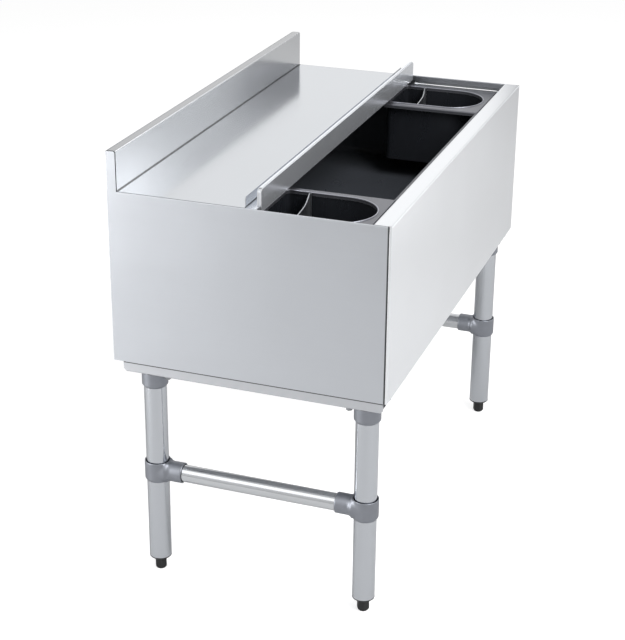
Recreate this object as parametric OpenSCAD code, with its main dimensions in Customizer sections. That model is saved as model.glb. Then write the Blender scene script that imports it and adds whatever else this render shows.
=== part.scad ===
// Under-bar ice bin with a bottle well at each end of the bin.
// The origin is on the floor under the middle of the cabinet, +Z up, the
// backsplash at +Y and the user's side at -Y. Sizes are in millimetres.

/* [Cabinet] */
// Length of the cabinet, end to end
cabinet_length = 914; // [800:2:1220]
// Depth of the cabinet, front face to back face
cabinet_depth = 508; // [490:2:600]
// Height of the work deck above the floor
deck_height = 754; // [700:2:900]
// Height of the cabinet below the deck
cabinet_height = 318; // [290:2:380]
// Thickness of the stainless sheet
sheet = 1.2; // [0.9:0.1:1.5]
// Radius of a bend, at the middle of the sheet
bend = 2; // [1.5:0.25:2.5]
// Height of the hem inside the top edge of an end panel
hem_height = 11; // [8:1:14]
// Gap inside a hem
hem_gap = 0.4; // [0.2:0.1:0.6]
// Width of the front panel's edge that shows on the end
corner_lip = 3.4; // [3:0.2:5]
// Width of the dark seam between panels
seam = 1.4; // [1.2:0.2:2]

/* [Backsplash] */
// Height of the backsplash above the deck
splash_height = 72; // [50:1:150]
// Thickness of the backsplash, front to back
splash_depth = 18; // [14:1:30]

/* [Rail, deck lip and guard] */
// Width of the top rail along the front
rail_width = 32; // [24:1:44]
// Depth of the lip that hangs from the rail
rail_lip = 13; // [8:1:14]
// Open width between the rail and the guard panel
mouth_width = 197; // [190:1:210]
// Thickness of the double guard panel
guard_depth = 7.4; // [6.4:0.2:10]
// Height of the guard panel above the deck
guard_height = 34; // [25:1:60]
// How far the guard panel's front sheet hangs below the deck
guard_drop = 7; // [5:1:9]
// Width of the channel between the guard panel and the deck lip
channel_width = 19.5; // [12:0.5:30]
// Height of the deck's turned-up lip
deck_lip_height = 17.5; // [10:0.5:25]
// Gap between the ends of the guard panel and the end panels' faces
guard_end_gap = 11; // [7:1:20]

/* [Bin] */
// Height from the bin's collar up to the deck
collar_drop = 17.4; // [15:0.2:24]
// Width of the collar's strip at the ends
collar_width = 8; // [6:1:12]
// Depth of the bin below its rim
bin_depth = 161; // [140:1:180]
// Thickness of the liner's wall
liner_wall = 4; // [3:0.5:6]
// Thickness of the liner's rim
rim_thickness = 3; // [2:0.5:4]
// Width of the liner's rim outside the bin
rim_width = 12; // [10:1:13]
// Inset of the bin's end walls from the cabinet's ends
bin_end_inset = 17; // [16.5:0.5:24]
// Inset of the bin's front wall from the cabinet's front
bin_front_inset = 50; // [48:0.5:54]
// Inset of the bin's rear wall from the cabinet's back
bin_rear_inset = 41; // [30:1:60]
// Radius of the bin's upright corners
bin_corner = 28; // [20:1:40]
// Radius where the bin's walls meet its floor
floor_fillet = 12; // [6:1:18]

/* [Bottle wells] */
// Length of a well's rim plate along the bin
well_length = 163; // [152:1:180]
// Gap between a well's rim plate and the collar's opening at its end
well_end_gap = 5.5; // [3:0.5:8]
// Thickness of a well's rim plate
well_sheet = 1.5; // [1:0.1:2]
// Width of the D-shaped mouth
mouth_d_width = 129.6; // [120:0.4:136]
// Radius of the rolled edge round the D-shaped mouth
roll_r = 1.5; // [1.2:0.1:2]
// Width of the rim plate in front of the mouth's round end
well_front_rim = 9.2; // [8:0.2:12]
// Width of the rim plate behind the mouth
well_rear_rim = 10.2; // [9.6:0.2:14]
// Depth of a well's tub below the rim plate
tub_depth = 117; // [80:1:130]
// Thickness of the tub's wall
tub_wall = 2; // [1.5:0.25:2.5]
// Thickness of the curved divider
divider_sheet = 1.8; // [1.2:0.2:2.4]
// Distance from the rear of the mouth to the divider's higher end
divider_rear = 42; // [35:1:55]
// How far the divider's other end lies farther forward
divider_skew = 20; // [0:1:30]
// Bow of the divider towards the front
divider_bow = 5; // [2:0.5:9]
// Width of the divider's bent ends
divider_tab = 4; // [3:0.5:8]

/* [Legs] */
// Outside diameter of a leg tube
leg_diameter = 41.3; // [38:0.1:45]
// Wall of a leg tube
leg_wall = 1.5; // [1.2:0.1:2]
// Inset of the leg's middle from the cabinet's end
leg_end_inset = 33.5; // [33:0.5:45]
// Inset of the front legs' middle from the front
leg_front_inset = 43.5; // [40:0.5:60]
// Inset of the rear legs' middle from the back
leg_rear_inset = 63.5; // [45:0.5:80]
// Outside diameter of a cross tube
cross_diameter = 31.8; // [25:0.1:34]
// Wall of a cross tube
cross_wall = 1.2; // [1:0.1:2]

/* [Leg channels] */
// Height of a leg channel
channel_height = 24; // [18:1:35]
// Thickness of a leg channel's sheet
channel_sheet = 1.5; // [1.2:0.1:2]
// Inset of a leg channel from the cabinet's end and front
channel_inset = 9; // [7:0.5:9.5]
// Inset of a leg channel from the cabinet's back
channel_rear_inset = 14; // [9:0.5:20]
// Cut-off at the lower corners of a leg channel
channel_chamfer = 6; // [3:0.5:8]

/* [Fittings] */
// Outside diameter of a leg socket
socket_diameter = 47.6; // [46:0.1:47.8]
// Height of a leg socket
socket_height = 29; // [24:1:40]
// Outside diameter of a T-fitting's collar
tee_diameter = 48; // [46:0.1:54]
// Height of a T-fitting's collar
tee_height = 40; // [38:0.5:50]
// Height of the T-fittings' middle above the floor
tee_level = 211; // [150:1:260]
// Outside diameter of a T-fitting's arm
arm_diameter = 38; // [37:0.1:39]
// Length of the arm from the leg's middle
arm_reach = 53; // [48:0.5:60]

/* [Feet] */
// Height of the leg tube's end above the floor
tube_end_height = 30; // [24:1:50]
// Thickness of the foot insert's flange
insert_flange = 4; // [3:0.5:6]
// Depth of the foot insert inside the tube
insert_depth = 32; // [28:1:45]
// Width of the foot's hexagon across its flats
foot_flats = 20; // [18:0.5:22]
// Diameter of the foot's threaded shank
foot_shank = 15.9; // [12:0.1:16]
// Travel of a foot out of its leg
foot_travel = 25; // [15:1:25]

/* [Drain] */
// Distance of the drain from the bin's middle, towards the front
drain_forward = 110; // [60:1:140]
// Outside diameter of the drain pipe
pipe_diameter = 33.4; // [30:0.1:36]
// Wall of the drain pipe
pipe_wall = 3.2; // [2:0.1:3.4]
// Free length of the drain pipe below its nut
pipe_free = 32; // [25:1:40]
// Diameter of the drain's flange in the bin
drain_flange = 76; // [70:1:90]

/* [Fits] */
// Clearance between a tube and the fitting round it
tube_fit = 0.1; // [0.05:0.05:0.2]
// Clearance between sheets that lie beside each other
sheet_fit = 0.1; // [0.05:0.05:0.2]
// Gap round a loose or foamed-in piece
loose_fit = 0.3; // [0.2:0.1:0.5]
// Clearance of a threaded shank in its nut
thread_fit = 0.05; // [0.03:0.01:0.1]

/* [Hidden] */
$fn = 96;

// Steps in a bend of a folded sheet
bend_steps = 6;
// How far a cutting shape runs past the face it cuts
over = 1;

// Main planes of the cabinet
half = cabinet_length / 2;
front = -cabinet_depth / 2;
back = cabinet_depth / 2;
cabinet_bottom = deck_height - cabinet_height;
hem = 2 * sheet + hem_gap;
hem_bend = (sheet + hem_gap) / 2;
inside_half = half - sheet - sheet_fit;
between_hems = half - hem - sheet_fit;
splash_front = back - splash_depth;
splash_top = deck_height + splash_height;
panel_front = front + corner_lip + seam;
corner_return = 16;
return_end = front + corner_lip + corner_return;

// Planes of the mouth, the guard panel and the channel behind it
rail_inner = front + rail_width;
guard_front = rail_inner + mouth_width;
guard_rear = guard_front + guard_depth;
lip_front = guard_rear + channel_width;
guard_half = half - guard_end_gap;
lip_overrun = 2;
lip_half = guard_half + lip_overrun;
guard_clip = [8, 6];
guard_cap_inset = 0.8;
deck_lip_clip = 4;

// The sheets under the deck's front edge: channel floor, then rear ledge
lap = 17;
channel_floor = deck_height - 1.5 * sheet;
ledge_top = deck_height - 2.5 * sheet;
ledge_setback = 3.6;
ledge_web = lip_front - ledge_setback;
ledge_lip = 10;

// Levels of the bin
collar_top = deck_height - collar_drop;
rim_top = collar_top - sheet;
bin_floor = rim_top - bin_depth;
liner_under = bin_floor - liner_wall;
bin_half = half - bin_end_inset;
bin_front = front + bin_front_inset;
bin_rear = back - bin_rear_inset;
mouth_half = half - collar_width;
collar_setback = 8;
collar_front = bin_front - collar_setback;
collar_corner = 9;

// Places of the wells, given for the right-hand one
well_outer = mouth_half - well_end_gap;
well_inner = well_outer - well_length;
well_middle = (well_outer + well_inner) / 2;
well_overhang = 3;
well_front = bin_front - well_overhang;
well_rear = ledge_web - sheet / 2 - well_overhang;
well_top = rim_top + well_sheet;
mouth_r = mouth_d_width / 2;
mouth_front = well_front + well_front_rim;
mouth_rear = well_rear - well_rear_rim;
mouth_corner = 8;
mouth_lip = 1.1;
mouth_skirt = 4;
roll_line = 0.8;
roll_level = rim_top + roll_r;
tub_r = mouth_r + mouth_lip + sheet_fit;
tub_gap = tub_r - mouth_r;
tub_floor = rim_top - tub_depth;
tub_flange = [2.5, 2];
well_edge_drop = 6;
notch_gap = 1;
drip_hole = 6;

// Places of the legs and the levels of what is on them
leg_x = half - leg_end_inset;
leg_front = front + leg_front_inset;
leg_rear = back - leg_rear_inset;
leg_r = leg_diameter / 2;
leg_bore = leg_r - leg_wall;
cross_r = cross_diameter / 2;
channel_bottom = cabinet_bottom - channel_height;
channel_outer = half - channel_inset;
channel_inner = 2 * leg_x - channel_outer;
socket_bottom = channel_bottom - socket_height;
socket_cap = 4;
tube_stop = 1;
tube_top = channel_bottom - socket_cap - tube_stop;
arm_stop = 1;

// Hardware
bolt_r = 3;
bolt_flats = 10;
bolt_head = 4;
washer = [6.5, 1.6];
bolt_length = 12;
nut_height = 5;
bolt_reach = 30;
bolt_spread = 10;
tongue = [34, 41, 3];
set_screw_r = 4;
set_screw_gap = 0.2;

// Drain levels and radii
drain_y = -drain_forward;
pipe_r = pipe_diameter / 2;
thread_r = pipe_r + 1;
gasket_height = 1.5;
gasket_inset = 2;
drain_flange_height = 2.5;
drain_edge = 1.2;
cup_bore = 24;
cup_r = 27;
cup_depth = 26;
cup_ledge = 12;
lock_nut_height = 8;
lock_nut_r = 38;
pipe_socket = 8;
pipe_nut_height = 8;
pipe_nut_r = 27;
cup_rise = 4;
cup_bottom = liner_under - cup_depth + cup_rise;
pipe_stop = 0.5;
pipe_top = cup_bottom + pipe_socket - pipe_stop;
pipe_end = cabinet_bottom - pipe_nut_height - pipe_free;

// Colours
steel = [0.86, 0.87, 0.89];
bright_steel = [0.92, 0.93, 0.95];
tube_steel = [0.80, 0.81, 0.84];
casting_grey = [0.46, 0.47, 0.49];
black_plastic = [0.09, 0.10, 0.11];
foot_black = [0.07, 0.07, 0.08];
foam_cream = [0.88, 0.84, 0.70];
rubber_black = [0.05, 0.05, 0.05];
well_grey = [0.60, 0.61, 0.64];

// Geometry of folded sheets. A path is a list of [a, b, bend radius] and
// runs along the middle of the sheet.
function unit(v) = v / norm(v);
function left_of(v) = [-v[1], v[0]];
function turned(v, angle) = [v[0] * cos(angle) - v[1] * sin(angle), v[0] * sin(angle) + v[1] * cos(angle)];
function spot(p) = [p[0], p[1]];
function heading(path, i) = unit(spot(path[i + 1]) - spot(path[i]));
function bend_points(p, a, b, d) =
    let (
        turn = atan2(cross(a, b), a * b),
        hand = sign(turn),
        middle = spot(p) - a * p[2] * tan(abs(turn) / 2) + left_of(a) * hand * p[2]
    )
    [for (k = [0 : bend_steps]) middle + left_of(turned(a, turn * k / bend_steps)) * (d - hand * p[2])];
function side_points(path, d) =
    let (last = len(path) - 1)
    [
        for (i = [0 : last])
            each i == 0 ? [spot(path[0]) + left_of(heading(path, 0)) * d]
                : i == last ? [spot(path[last]) + left_of(heading(path, last - 1)) * d]
                : bend_points(path[i], heading(path, i - 1), heading(path, i), d)
    ];
function backwards(list) = [for (i = [len(list) - 1 : -1 : 0]) list[i]];

module folded(path, thickness) {
    polygon(concat(side_points(path, thickness / 2), backwards(side_points(path, -thickness / 2))));
}

// Extrudes an outline drawn as (y, z) along X
module along_x(from, to) {
    translate([from, 0, 0])
        rotate([90, 0, 90])
            linear_extrude(to - from) children();
}

// Extrudes an outline drawn as (x, z) along Y
module along_y(from, to) {
    translate([0, to, 0])
        rotate([90, 0, 0])
            linear_extrude(to - from) children();
}

// Extrudes an outline drawn as (x, y) upwards
module along_z(from, to) {
    translate([0, 0, from])
        linear_extrude(to - from) children();
}

// The box between two corners
module block(low, high) {
    translate(low)
        cube(high - low);
}

// The same piece for the left-hand end
module left() {
    mirror([1, 0, 0]) children();
}

// A rectangle with round corners, from corner to corner
module rounded_rectangle(low, high, r) {
    translate([low[0] + r, low[1]])
        square([high[0] - low[0] - 2 * r, high[1] - low[1]]);
    translate([low[0], low[1] + r])
        square([high[0] - low[0], high[1] - low[1] - 2 * r]);
    for (x = [low[0] + r, high[0] - r], y = [low[1] + r, high[1] - r])
        translate([x, y])
            circle(r);
}

// Cuts both upper corners off a lip that ends at the given half length
module lip_corner_cuts(length, top, clip, from_y, to_y) {
    for (end = [-1, 1])
        along_y(from_y, to_y)
            polygon([
                [end * (length + over), top + over],
                [end * (length - clip[0] - over), top + over],
                [end * (length - clip[0]), top],
                [end * length, top - clip[1]],
                [end * (length + over), top - clip[1]]
            ]);
}

// The end panel on the right: hemmed along the top, with a tab that covers
// the end of the backsplash
module end_panel() {
    hem_line = half - 1.5 * sheet - hem_gap;
    tab_corner = 3;
    along_y(panel_front, splash_front)
        folded([
            [hem_line, deck_height - hem_height, 0],
            [hem_line, deck_height - sheet / 2, hem_bend],
            [half - sheet / 2, deck_height - sheet / 2, hem_bend],
            [half - sheet / 2, cabinet_bottom, 0]
        ], sheet);
    along_x(half - sheet, half)
        union() {
            translate([splash_front, cabinet_bottom])
                square([splash_depth, cabinet_height]);
            translate([splash_front - over, cabinet_bottom])
                square([2 * over, cabinet_height - hem_height]);
            rounded_rectangle([splash_front + seam / 2, deck_height - 2 * tab_corner],
                [back - seam / 2, splash_top - seam / 2], tab_corner);
        }
}

module left_end_panel() {
    color(steel) left() end_panel();
}

module right_end_panel() {
    color(steel) end_panel();
}

// The front panel wraps the corners, steps in behind the end panels and is
// turned back along the top as a rail with a hanging lip
module front_panel() {
    face = front + sheet / 2;
    side = half - sheet / 2;
    inner_side = side - sheet - sheet_fit;
    lip_end = front + corner_lip;
    step = seam - sheet / 2;
    small_bend = 0.8;
    rail_bottom = deck_height - bend - sheet / 2;
    color(steel) {
        difference() {
            along_z(cabinet_bottom, deck_height - sheet / 4)
                folded([
                    [-inner_side, return_end, 0],
                    [-inner_side, lip_end + step, small_bend],
                    [-side, lip_end, small_bend],
                    [-side, face, bend - 0.2],
                    [side, face, bend - 0.2],
                    [side, lip_end, small_bend],
                    [inner_side, lip_end + step, small_bend],
                    [inner_side, return_end, 0]
                ], sheet);
            block([-between_hems, front - over, rail_bottom], [between_hems, return_end, deck_height + over]);
            for (end = [-1, 1])
                translate([end * half, 0, 0])
                    block([-hem - sheet, lip_end + sheet_fit, deck_height - hem_height - over],
                        [hem + sheet, return_end + over, deck_height + over]);
        }
        along_x(-between_hems, between_hems)
            folded([
                [rail_inner - sheet / 2, deck_height - rail_lip, 0],
                [rail_inner - sheet / 2, deck_height - sheet / 2, bend],
                [face, deck_height - sheet / 2, bend],
                [face, rail_bottom, 0]
            ], sheet);
    }
}

module back_panel() {
    color(steel)
        block([-inside_half, back - sheet, cabinet_bottom], [inside_half, back, splash_top - sheet]);
}

// Front and top of the backsplash, with a lip down inside the back panel
module backsplash() {
    rear_lip = 14;
    rear = back - 1.5 * sheet - sheet_fit;
    color(steel)
        along_x(seam - inside_half, inside_half - seam)
            folded([
                [splash_front + sheet / 2, deck_height, 0],
                [splash_front + sheet / 2, splash_top - sheet / 2, bend],
                [rear, splash_top - sheet / 2, bend],
                [rear, splash_top - rear_lip, 0]
            ], sheet);
}

// The flat deck: turned up along the bin and down along the back
module work_deck() {
    rear = back - 1.5 * sheet - sheet_fit;
    rear_lip = 12;
    top = deck_height + deck_lip_height;
    color(steel)
        difference() {
            along_x(-between_hems, between_hems)
                folded([
                    [lip_front + sheet / 2, top, 0],
                    [lip_front + sheet / 2, deck_height - sheet / 2, bend],
                    [rear, deck_height - sheet / 2, bend],
                    [rear, deck_height - rear_lip, 0]
                ], sheet);
            for (end = [-1, 1])
                translate([end * (lip_half + cabinet_depth / 2), lip_front + bend, deck_height + cabinet_depth / 2])
                    cube([cabinet_depth, 2 * bend + sheet, cabinet_depth], center = true);
            lip_corner_cuts(lip_half, top, [deck_lip_clip, deck_lip_clip], lip_front - over, lip_front + 2 * bend);
        }
}

// One sheet: the channel's floor, turned up and folded over as a double wall,
// whose ends are closed by a strip that follows the clipped corners
module guard_panel() {
    floor_rear = lip_front + lap;
    top = deck_height + guard_height;
    cap = guard_half - guard_cap_inset - sheet / 2;
    color(steel)
        difference() {
            union() {
                along_x(-between_hems, between_hems)
                    folded([
                        [floor_rear, channel_floor, 0],
                        [guard_rear - sheet / 2, channel_floor, bend],
                        [guard_rear - sheet / 2, top - sheet / 2, bend],
                        [guard_front + sheet / 2, top - sheet / 2, bend],
                        [guard_front + sheet / 2, deck_height - guard_drop, 0]
                    ], sheet);
                for (end = [-1, 1])
                    along_y(guard_front + sheet / 2, guard_rear - sheet / 2)
                        folded([
                            [end * cap, deck_height - guard_drop, 0],
                            [end * cap, top - guard_clip[1] - sheet / 2, sheet],
                            [end * (cap - guard_clip[0]), top - sheet, 0]
                        ], sheet);
            }
            for (end = [-1, 1])
                translate([end * (guard_half + cabinet_depth / 2), 0, 0])
                    block([-cabinet_depth / 2, guard_front - over, channel_floor + sheet / 2],
                        [cabinet_depth / 2, guard_rear + bend, top + over]);
            for (end = [-1, 1])
                translate([end * (guard_half + cabinet_depth / 2), 0, 0])
                    block([-cabinet_depth / 2, guard_front - over, deck_height - guard_drop - over],
                        [cabinet_depth / 2, guard_rear - bend - sheet, top + over]);
            lip_corner_cuts(guard_half, top, guard_clip, guard_front - over, guard_rear + over);
        }
}

// Hangs under the channel's floor and carries the wells' rear edges
module rear_ledge() {
    lip_tip = ledge_web - ledge_lip;
    color(steel)
        difference() {
            along_x(-between_hems, between_hems)
                folded([
                    [lip_front + lap, ledge_top, 0],
                    [ledge_web, ledge_top, bend],
                    [ledge_web, rim_top - sheet / 2, bend],
                    [lip_tip, rim_top - sheet / 2, 0]
                ], sheet);
            for (end = [-1, 1])
                translate([end * (bin_half + cabinet_depth / 2), 0, 0])
                    block([-cabinet_depth / 2 - 1, lip_tip - over, rim_top - sheet - over],
                        [cabinet_depth / 2, lip_front, collar_top]);
        }
}

// Makes room for the front panel's returns in the corners of a flat sheet
module return_notches(from_z, to_z) {
    width = 2 * sheet + 2 * sheet_fit;
    for (end = [-1, 1])
        translate([end * half, 0, 0])
            block([-width, front, from_z], [width, return_end + 2 * sheet, to_z]);
}

// Flat steel ring round the liner's rim, open with round corners
module bin_collar() {
    color(steel)
        difference() {
            along_z(rim_top, collar_top)
                difference() {
                    translate([-inside_half, front + sheet + sheet_fit])
                        square([2 * inside_half, cabinet_depth - 2 * (sheet + sheet_fit)]);
                    rounded_rectangle([-mouth_half, collar_front], [mouth_half, bin_rear + rim_width / 2],
                        collar_corner);
                }
            return_notches(rim_top - over, collar_top + over);
        }
}

// Closes the cabinet from below, with a flange turned up all round
module bottom_pan() {
    flange = 15;
    side = inside_half;
    depth = cabinet_depth / 2 - sheet - sheet_fit;
    color(steel)
        difference() {
            block([-side, -depth, cabinet_bottom], [side, depth, cabinet_bottom + flange]);
            block([-side + sheet, -depth + sheet, cabinet_bottom + sheet],
                [side - sheet, depth - sheet, cabinet_bottom + flange + over]);
            return_notches(cabinet_bottom - over, cabinet_bottom + flange + over);
            translate([0, drain_y, cabinet_bottom - over])
                cylinder(r = thread_r + loose_fit, h = sheet + 2 * over);
        }
}

// A lipped channel across the cabinet's end, with its lower corners cut off
module leg_channel() {
    lip = 11;
    wall = channel_sheet / 2;
    from = front + channel_inset;
    to = back - channel_rear_inset;
    cut = channel_chamfer;
    color(steel)
        difference() {
            along_y(from, to)
                folded([
                    [channel_inner + lip, cabinet_bottom - wall, 0],
                    [channel_inner + wall, cabinet_bottom - wall, bend],
                    [channel_inner + wall, channel_bottom + wall, bend],
                    [channel_outer - wall, channel_bottom + wall, bend],
                    [channel_outer - wall, cabinet_bottom - wall, bend],
                    [channel_outer - lip, cabinet_bottom - wall, 0]
                ], channel_sheet);
            for (y = [from, to])
                translate([0, y, channel_bottom])
                    along_x(channel_inner - over, channel_outer + over)
                        polygon([[-cut, 0], [0, cut], [cut, 0], [0, -cut]]);
            for (y = [leg_front, leg_rear])
                socket_bolt_places(y)
                    translate([0, 0, channel_bottom - over])
                        cylinder(r = bolt_r + 2 * tube_fit, h = channel_sheet + 2 * over);
        }
}

module left_leg_channel() {
    left() leg_channel();
}

module right_leg_channel() {
    leg_channel();
}

// The liner's outside, grown by a gap for the foam round it
module liner_envelope(grow) {
    along_z(liner_under - grow, rim_top + grow)
        rounded_rectangle([-bin_half - liner_wall - grow, bin_front - liner_wall - grow],
            [bin_half + liner_wall + grow, bin_rear + liner_wall + grow], bin_corner + liner_wall + grow);
    along_z(rim_top - rim_thickness - grow, rim_top + grow)
        rounded_rectangle([-bin_half - rim_width - grow, bin_front - rim_width - grow],
            [bin_half + rim_width + grow, bin_rear + rim_width + grow], collar_corner + grow);
}

// The hollow of the bin: round corners, and a fillet round its floor
module bin_hollow() {
    top = rim_top + over;
    intersection() {
        along_z(bin_floor, top)
            rounded_rectangle([-bin_half, bin_front], [bin_half, bin_rear], bin_corner);
        along_y(bin_front - over, bin_rear + over)
            rounded_rectangle([-bin_half, bin_floor], [bin_half, top + floor_fillet], floor_fillet);
        along_x(-bin_half - over, bin_half + over)
            rounded_rectangle([bin_front, bin_floor], [bin_rear, top + floor_fillet], floor_fillet);
    }
}

module bin_liner() {
    color(black_plastic)
        difference() {
            liner_envelope(0);
            bin_hollow();
            translate([0, drain_y, liner_under - over])
                cylinder(r = cup_r + loose_fit, h = liner_wall + 2 * over);
        }
}

// Rigid foam between the shell and the liner
module foam_core() {
    side = half - 2 * sheet - 2 * sheet_fit - hem_gap;
    depth = cabinet_depth / 2 - 2 * sheet - 2 * sheet_fit;
    pocket = [lock_nut_r + 8, 4];
    color(foam_cream)
        difference() {
            block([-side, -depth, cabinet_bottom + sheet], [side, depth, rim_top]);
            liner_envelope(loose_fit);
            translate([0, drain_y, cup_bottom - pocket[1]])
                cylinder(r = pocket[0], h = cup_depth + pocket[1]);
            translate([0, drain_y, cabinet_bottom])
                cylinder(r = thread_r + loose_fit, h = cup_bottom - cabinet_bottom);
        }
}

// Foam board that closes the bin's rear half under the deck
module deck_insulation() {
    side = between_hems - sheet_fit;
    color(foam_cream)
        block([-side, ledge_web + sheet / 2 + bend, collar_top],
            [side, back - 2 * sheet - 3 * sheet_fit, ledge_top - sheet / 2]);
}

// The D-shaped mouth's outline, grown all round: round towards the front,
// with small corners at the back
module well_outline(grow) {
    r = mouth_r + grow;
    round_y = mouth_front + mouth_r;
    rear = mouth_rear + grow;
    corner = mouth_corner + grow;
    translate([well_middle, round_y])
        circle(r);
    translate([well_middle - r, round_y])
        square([2 * r, rear - corner - round_y]);
    translate([well_middle - r + corner, round_y])
        square([2 * (r - corner), rear - round_y]);
    for (x = [well_middle - r + corner, well_middle + r - corner])
        translate([x, rear - corner])
            circle(corner);
}

// A quarter or half ring of the rolled edge, from one angle on
module roll_arc(x, y, r, from, sweep) {
    translate([x, y, roll_level])
        rotate([0, 0, from])
            rotate_extrude(angle = sweep)
                translate([r, 0])
                    circle(roll_r);
}

// The rolled edge that follows the mouth's outline
module mouth_roll() {
    r = mouth_r + roll_line;
    corner = mouth_corner + roll_line;
    round_y = mouth_front + mouth_r;
    rear = mouth_rear + roll_line;
    roll_arc(well_middle, round_y, r, 180, 180);
    roll_arc(well_middle + r - corner, rear - corner, corner, 0, 90);
    roll_arc(well_middle - r + corner, rear - corner, corner, 90, 90);
    for (x = [well_middle - r, well_middle + r])
        translate([x, round_y, roll_level])
            rotate([-90, 0, 0])
                cylinder(r = roll_r, h = rear - corner - round_y);
    translate([well_middle - r + corner, rear, roll_level])
        rotate([0, 90, 0])
            cylinder(r = roll_r, h = 2 * (r - corner));
}

// Steel rim plate of the right-hand well, turned down along the bin's middle,
// with a lip and a rolled edge round the mouth
module well_rim() {
    notch_front = bin_front + notch_gap;
    notch_rear = ledge_web - ledge_lip - notch_gap;
    middle_z = well_top - well_sheet / 2;
    edge_r = 1.5;
    color(well_grey) {
        difference() {
            union() {
                along_y(well_front, well_rear)
                    folded([
                        [well_inner + well_sheet / 2, rim_top - well_edge_drop, 0],
                        [well_inner + well_sheet / 2, middle_z, edge_r],
                        [well_outer, middle_z, 0]
                    ], well_sheet);
                along_z(rim_top - mouth_skirt, well_top)
                    well_outline(mouth_lip);
            }
            along_z(rim_top - mouth_skirt - over, well_top + over)
                well_outline(0);
            for (y = [[well_front - over, notch_front], [notch_rear, well_rear + over]])
                block([well_inner - over, y[0], rim_top - well_edge_drop - over],
                    [well_middle - tub_r - 2 * notch_gap, y[1], rim_top]);
        }
        mouth_roll();
    }
}

module left_well_rim() {
    left() well_rim();
}

module right_well_rim() {
    well_rim();
}

// Black tub under the rim plate, with drip holes in its floor
module well_tub() {
    rear_limit = ledge_web - ledge_lip - notch_gap / 2;
    color(black_plastic)
        difference() {
            union() {
                along_z(tub_floor - tub_wall, rim_top)
                    well_outline(tub_gap + tub_wall);
                along_z(rim_top - tub_flange[1], rim_top)
                    intersection() {
                        well_outline(tub_gap + tub_wall + tub_flange[0]);
                        translate([well_inner, well_front])
                            square([well_length, rear_limit - well_front]);
                    }
            }
            along_z(tub_floor, rim_top + over)
                well_outline(tub_gap);
            for (x = [-1, 1], y = [0.3, 0.8])
                translate([well_middle + x * mouth_r / 2, mouth_front + y * (mouth_rear - mouth_front), tub_floor - tub_wall - over])
                    cylinder(d = drip_hole, h = tub_wall + 2 * over);
        }
}

module left_well_tub() {
    left() well_tub();
}

module right_well_tub() {
    well_tub();
}

// Curved divider across a tub, bent forward at both ends to lie along its
// walls. Both wells hold the same one, the same way round.
module well_divider(middle) {
    reach = mouth_r + roll_line - roll_r - loose_fit - divider_sheet / 2;
    high_end = mouth_rear - divider_rear;
    low_end = high_end - divider_skew;
    bow_r = 300;
    end_r = 2.5;
    translate([middle, 0, 0])
        color(well_grey)
            along_z(tub_floor, well_top)
                folded([
                    [-reach, low_end - divider_tab, 0],
                    [-reach, low_end, end_r],
                    [0, (high_end + low_end) / 2 - divider_bow, bow_r],
                    [reach, high_end, end_r],
                    [reach, high_end - divider_tab, 0]
                ], divider_sheet);
}

module left_well_divider() {
    well_divider(-well_middle);
}

module right_well_divider() {
    well_divider(well_middle);
}

// Puts a child at a leg: end is -1 for left or 1 for right, y is its row
module at_leg(end, y) {
    translate([end * leg_x, y, 0]) children();
}

// Towards the middle of the cabinet from a leg's row
function inward(y) = y < (leg_front + leg_rear) / 2 ? 1 : -1;

// The two bolts of a right-hand socket, on the side towards the other leg
module socket_bolt_places(y) {
    for (x = [-bolt_spread, bolt_spread])
        translate([leg_x + x, y + inward(y) * bolt_reach, 0]) children();
}

// Cast socket with a tongue for its bolts
module socket(end, y) {
    r = socket_diameter / 2;
    rim = [3, 4];
    seat = channel_bottom - socket_cap;
    color(casting_grey)
        difference() {
            union() {
                at_leg(end, y)
                    rotate_extrude()
                        polygon([
                            [0, socket_bottom],
                            [r - rim[0], socket_bottom],
                            [r, socket_bottom + rim[1]],
                            [r, channel_bottom],
                            [0, channel_bottom]
                        ]);
                at_leg(end, y)
                    scale_y(inward(y))
                        block([-tongue[0] / 2, 0, channel_bottom - tongue[2]],
                            [tongue[0] / 2, tongue[1], channel_bottom]);
            }
            at_leg(end, y)
                translate([0, 0, socket_bottom - over])
                    cylinder(r = leg_r + tube_fit, h = seat - socket_bottom + over);
            at_leg(end, y)
                translate([0, 0, socket_bottom + socket_height / 2])
                    rotate([0, -end * 90, 0])
                        cylinder(r = set_screw_r, h = r + over);
            scale_x(end)
                socket_bolt_places(y)
                    translate([0, 0, channel_bottom - tongue[2] - over])
                        cylinder(r = bolt_r + 2 * tube_fit, h = tongue[2] + 2 * over);
        }
}

// Mirrors its children when the given side is negative
module scale_x(side) {
    mirror([side < 0 ? 1 : 0, 0, 0]) children();
}

module scale_y(side) {
    mirror([0, side < 0 ? 1 : 0, 0]) children();
}

module leg(end, y) {
    color(tube_steel)
        at_leg(end, y)
            translate([0, 0, tube_end_height])
                difference() {
                    cylinder(r = leg_r, h = tube_top - tube_end_height);
                    translate([0, 0, -over])
                        cylinder(r = leg_bore, h = tube_top - tube_end_height + 2 * over);
                }
}

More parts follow.
